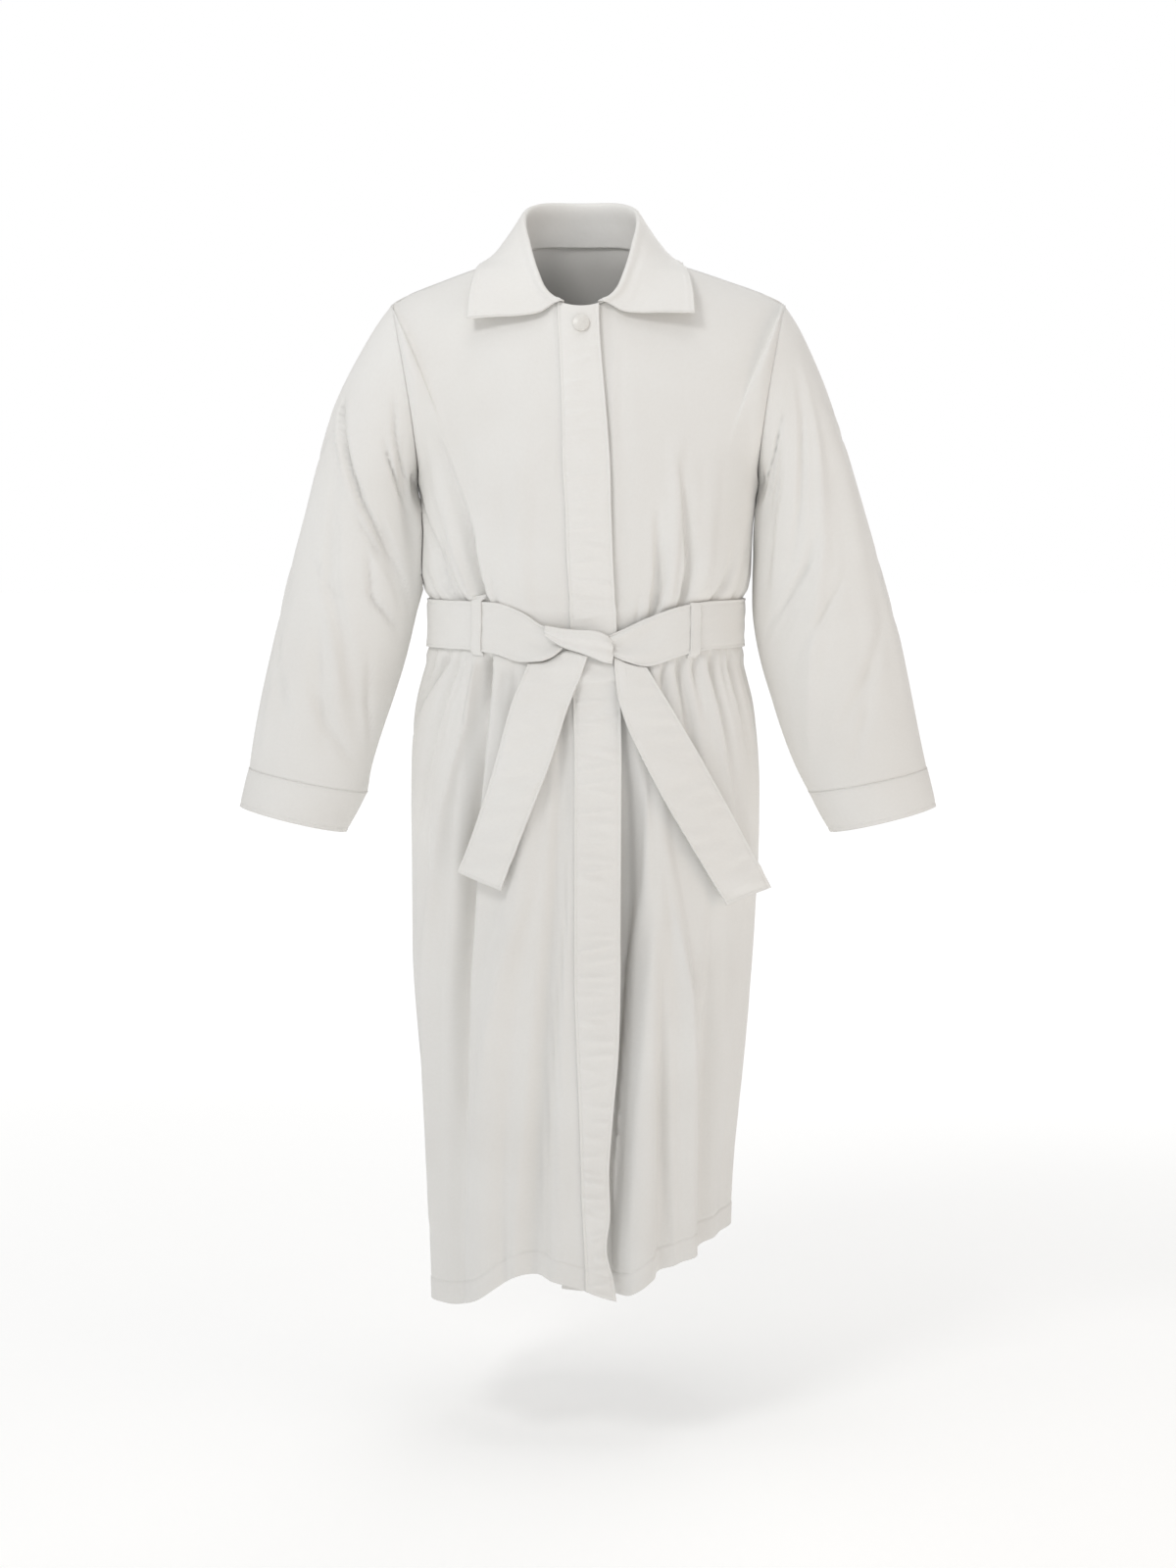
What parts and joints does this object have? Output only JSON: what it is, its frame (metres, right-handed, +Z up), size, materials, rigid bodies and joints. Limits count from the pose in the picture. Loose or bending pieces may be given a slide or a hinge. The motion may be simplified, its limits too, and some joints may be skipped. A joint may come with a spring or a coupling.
{
  "type": "kittel (white belted ceremonial robe)",
  "caption": "Long white cotton robe worn closed: pointed collar, covered front closing, long sleeves with stitched cuffs, self belt tied in front.",
  "frame": {"origin": "middle of the neck opening, level with the neck seam at the back, where the wearer's shoulders and neck hold the robe", "axes": "+Z up along the robe, +Y toward the wearer's back (the front faces -Y), +X toward the wearer's left"},
  "size_m": [0.828, 0.3356, 1.3105],
  "materials": {
    "cloth": "plain-woven off-white cotton blend, soft sheen",
    "button": "satin off-white"
  },
  "bodies": {
    "root": {"front_over": "cloth", "front_under": "cloth", "back": "cloth", "placket_band": "cloth", "collar": "cloth", "sleeve_right": "cloth", "sleeve_left": "cloth", "cuff_right": "cloth", "cuff_left": "cloth", "belt_waist": "cloth", "belt_knot": "cloth", "belt_tail_right": "cloth", "belt_tail_left": "cloth", "belt_loop_right": "cloth", "belt_loop_left": "cloth", "button": "button"}
  },
  "joints": []
}
